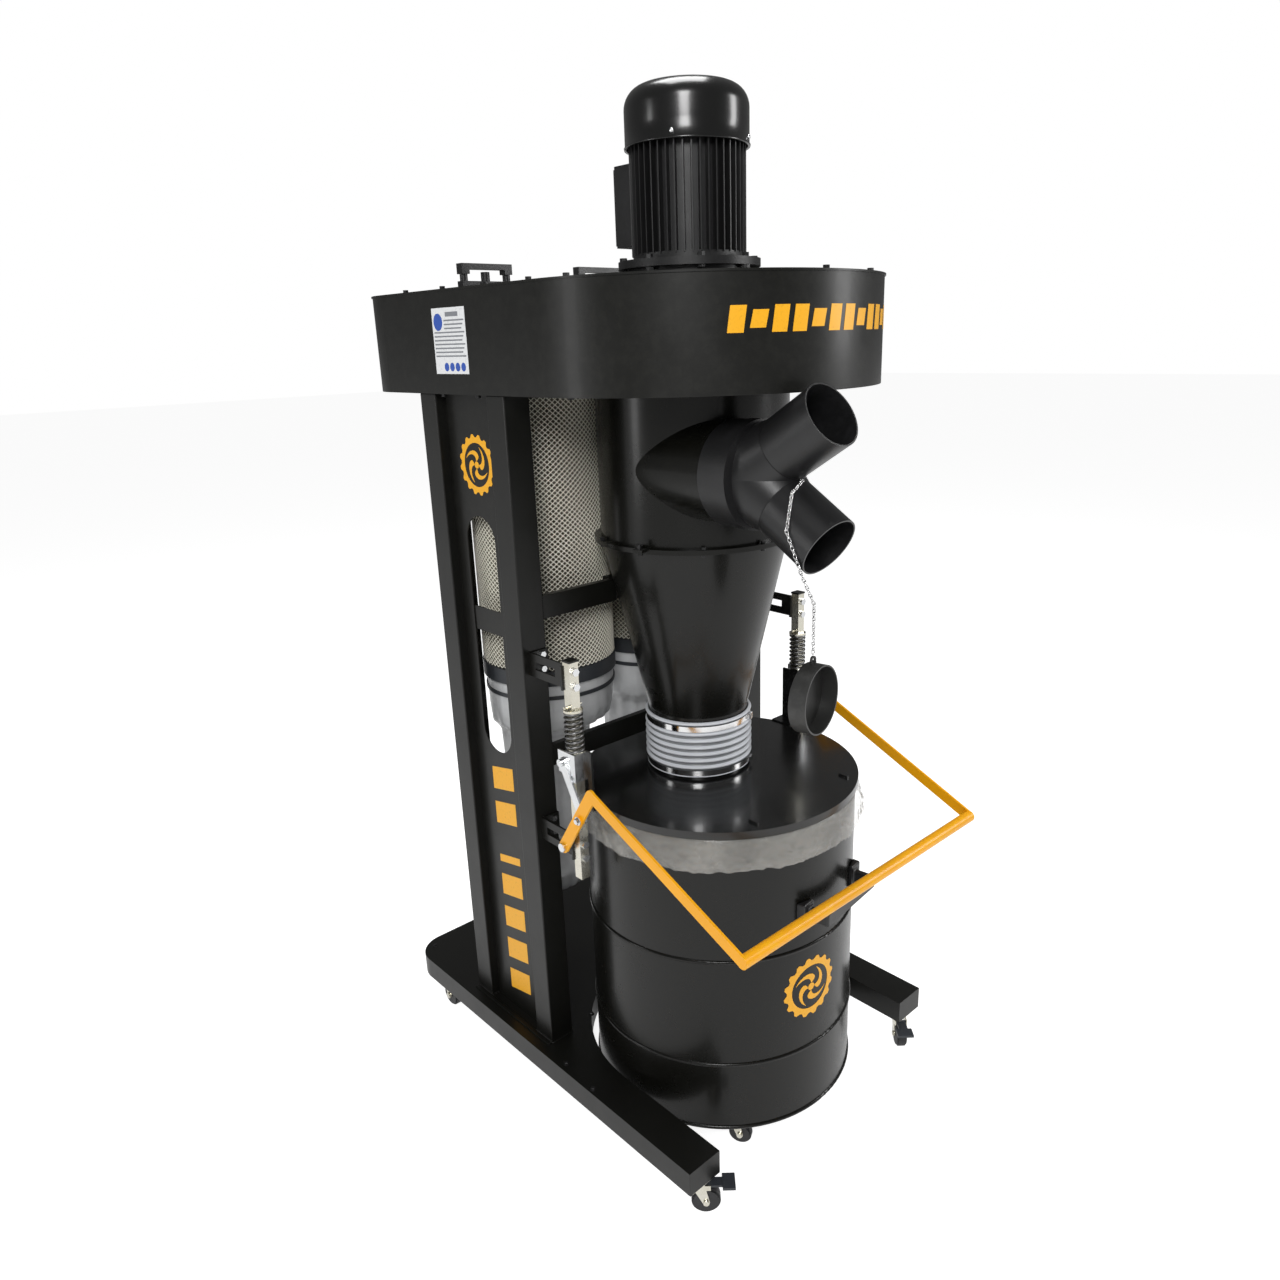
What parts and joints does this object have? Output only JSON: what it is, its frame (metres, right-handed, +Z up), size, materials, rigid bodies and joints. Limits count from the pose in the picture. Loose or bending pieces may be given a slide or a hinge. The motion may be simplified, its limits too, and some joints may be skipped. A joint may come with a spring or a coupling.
{
  "type": "cyclone dust collector",
  "caption": "Portable two-stage cyclone dust collector with twin-port inlet, filter stack, lifting drum lid and rolling drum on a caster base.",
  "frame": {"origin": "floor level, centre of the overall footprint", "axes": "-Y towards the drum and the inlet ports (front), +X towards the machine's right leg seen from behind, +Z up along the motor's axis direction"},
  "size_m": [0.672, 0.994, 1.808],
  "materials": {
    "black_steel": "gloss black powder coat",
    "black_plastic": "satin black plastic",
    "cast_black": "matt black paint on castings",
    "zinc": "yellowish zinc plate",
    "stainless": "polished stainless strip",
    "orange_paint": "orange-yellow powder coat",
    "hose_white": "white ribbed flexible hose",
    "filter_media": "cream pleated filter media",
    "guard_mesh": "pale diamond mesh guard",
    "bag_film": "translucent grey film",
    "liner_film": "clear film",
    "foam": "black foam gasket",
    "wheel_tread": "black wheel",
    "pedal_grey": "dark grey plastic",
    "spring_steel": "dark spring wire"
  },
  "bodies": {
    "frame": {"base_frame": "black_steel", "columns": "black_steel", "left_side_panel": "black_steel", "right_side_panel": "black_steel", "cross_bars": "black_steel", "housing_shell": "black_steel", "housing_top_plate": "black_steel", "cyclone_barrel": "black_steel", "vortex_tube": "black_steel", "inlet_pipe": "black_steel", "cyclone_cone": "black_steel", "inlet_wye": "black_plastic", "lid_hose": "hose_white", "upper_hose_clamp": "stainless", "guide_bars": "zinc", "guide_brackets": "black_steel", "lift_springs": "spring_steel", "motor_frame": "cast_black", "motor_flange": "cast_black", "motor_fan_cover": "black_steel", "junction_box": "black_plastic", "filter_elements": "filter_media", "filter_guards": "guard_mesh", "filter_rings": "black_plastic", "dust_bags": "bag_film", "housing_bolts": "cast_black", "flange_bolts": "cast_black", "port_chain": "stainless", "bracket_bolts": "zinc", "caster_plates": "zinc"},
    "lid": {"drum_lid": "black_steel", "lid_gasket": "foam", "lid_slides": "zinc", "lower_hose_clamp": "stainless"},
    "handle": {"lift_handle": "orange_paint"},
    "links": {"lift_links": "zinc"},
    "drum_unit": {"drum": "black_steel", "drum_handles": "black_plastic", "drum_liner": "liner_film", "drum_caster_plates": "zinc"},
    "rotor": {"blower_rotor": "zinc"},
    "left_crank_unit": {"left_crank": "black_plastic"},
    "right_crank_unit": {"right_crank": "black_plastic"},
    "cap": {"port_cap": "black_plastic"},
    "left_caster": {"left_fork": "zinc"},
    "left_caster_wheel": {"left_wheel": "wheel_tread"},
    "left_brake": {"left_pedal": "pedal_grey"},
    "right_caster": {"right_fork": "zinc"},
    "right_caster_wheel": {"right_wheel": "wheel_tread"},
    "right_brake": {"right_pedal": "pedal_grey"},
    "rear_left_caster_wheel": {"rear_left_wheel": "wheel_tread"},
    "rear_right_caster_wheel": {"rear_right_wheel": "wheel_tread"},
    "drum_caster_1": {"drum_fork_1": "zinc"},
    "drum_caster_wheel_1": {"drum_wheel_1": "wheel_tread"},
    "drum_caster_2": {"drum_fork_2": "zinc"},
    "drum_caster_wheel_2": {"drum_wheel_2": "wheel_tread"},
    "drum_caster_3": {"drum_fork_3": "zinc"},
    "drum_caster_wheel_3": {"drum_wheel_3": "wheel_tread"},
    "drum_caster_4": {"drum_fork_4": "zinc"},
    "drum_caster_wheel_4": {"drum_wheel_4": "wheel_tread"}
  },
  "joints": [
    {"name": "handle_lift", "type": "hinge", "parent": "frame", "child": "handle", "pos_m": [0, -0.069, 0.583], "axis": [-1, 0, 0], "range_deg": [0, 24]},
    {"name": "lid_lift", "type": "slide", "parent": "frame", "child": "lid", "axis": [0, 0, 1], "range_m": [0, 0.02754], "deforming": ["lift_springs", "lid_hose"]},
    {"name": "link_swing", "type": "hinge", "parent": "handle", "child": "links", "pos_m": [0, -0.12, 0.653], "axis": [1, 0, 0], "range_deg": [0, 43.85]},
    {"name": "drum_roll_out", "type": "slide", "parent": "frame", "child": "drum_unit", "axis": [0, -1, 0], "range_m": [0, 0.045]},
    {"name": "blower_spin", "type": "hinge", "parent": "frame", "child": "rotor", "pos_m": [0, -0.092, 1.4], "axis": [0, 0, 1], "continuous": true},
    {"name": "left_crank_turn", "type": "hinge", "parent": "frame", "child": "left_crank_unit", "pos_m": [-0.133, 0.305, 1.52], "axis": [0, 0, 1], "continuous": true},
    {"name": "right_crank_turn", "type": "hinge", "parent": "frame", "child": "right_crank_unit", "pos_m": [0.133, 0.305, 1.52], "axis": [0, 0, 1], "continuous": true},
    {"name": "cap_swing", "type": "hinge", "parent": "frame", "child": "cap", "pos_m": [-0.113, -0.449, 0.9605], "axis": [0, 1, 0], "range_deg": [-12, 12]},
    {"name": "left_caster_swivel", "type": "hinge", "parent": "frame", "child": "left_caster", "pos_m": [-0.302, -0.364, 0.06], "axis": [0, 0, 1], "continuous": true},
    {"name": "left_wheel_roll", "type": "hinge", "parent": "left_caster", "child": "left_caster_wheel", "pos_m": [-0.28737, -0.37764, 0.025], "axis": [0.682, 0.7314, 0], "continuous": true},
    {"name": "left_brake_press", "type": "hinge", "parent": "left_caster", "child": "left_brake", "pos_m": [-0.28445, -0.38037, 0.056], "axis": [0.682, 0.7314, 0], "range_deg": [0, 4]},
    {"name": "right_caster_swivel", "type": "hinge", "parent": "frame", "child": "right_caster", "pos_m": [0.302, -0.364, 0.06], "axis": [0, 0, 1], "continuous": true},
    {"name": "right_wheel_roll", "type": "hinge", "parent": "right_caster", "child": "right_caster_wheel", "pos_m": [0.28836, -0.37863, 0.025], "axis": [0.7314, -0.682, 0], "continuous": true},
    {"name": "right_brake_press", "type": "hinge", "parent": "right_caster", "child": "right_brake", "pos_m": [0.28563, -0.38155, 0.056], "axis": [0.7314, -0.682, 0], "range_deg": [0, 4]},
    {"name": "rear_left_wheel_roll", "type": "hinge", "parent": "frame", "child": "rear_left_caster_wheel", "pos_m": [-0.3, 0.405, 0.025], "axis": [1, 0, 0], "continuous": true},
    {"name": "rear_right_wheel_roll", "type": "hinge", "parent": "frame", "child": "rear_right_caster_wheel", "pos_m": [0.3, 0.405, 0.025], "axis": [1, 0, 0], "continuous": true},
    {"name": "drum_caster_1_swivel", "type": "hinge", "parent": "drum_unit", "child": "drum_caster_1", "pos_m": [-0.14453, -0.30452, 0.055], "axis": [0, 0, 1], "continuous": true},
    {"name": "drum_wheel_1_roll", "type": "hinge", "parent": "drum_caster_1", "child": "drum_caster_wheel_1", "pos_m": [-0.13603, -0.31924, 0.021], "axis": [0.866, 0.5, 0], "continuous": true},
    {"name": "drum_caster_2_swivel", "type": "hinge", "parent": "drum_unit", "child": "drum_caster_2", "pos_m": [0.108, -0.33106, 0.055], "axis": [0, 0, 1], "continuous": true},
    {"name": "drum_wheel_2_roll", "type": "hinge", "parent": "drum_caster_2", "child": "drum_caster_wheel_2", "pos_m": [0.12398, -0.33688, 0.021], "axis": [0.342, 0.9397, 0], "continuous": true},
    {"name": "drum_caster_3_swivel", "type": "hinge", "parent": "drum_unit", "child": "drum_caster_3", "pos_m": [0.14453, 0.01652, 0.055], "axis": [0, 0, 1], "continuous": true},
    {"name": "drum_wheel_3_roll", "type": "hinge", "parent": "drum_caster_3", "child": "drum_caster_wheel_3", "pos_m": [0.15035, 0.03249, 0.021], "axis": [-0.9397, 0.342, 0], "continuous": true},
    {"name": "drum_caster_4_swivel", "type": "hinge", "parent": "drum_unit", "child": "drum_caster_4", "pos_m": [-0.108, 0.04306, 0.055], "axis": [0, 0, 1], "continuous": true},
    {"name": "drum_wheel_4_roll", "type": "hinge", "parent": "drum_caster_4", "child": "drum_caster_wheel_4", "pos_m": [-0.12398, 0.04888, 0.021], "axis": [-0.342, -0.9397, 0], "continuous": true}
  ],
  "couplings": [
    {"joint": "lid_lift", "follows": "handle_lift", "m_per_rad": 0.0655},
    {"joint": "link_swing", "follows": "handle_lift", "ratio": 1.823}
  ]
}
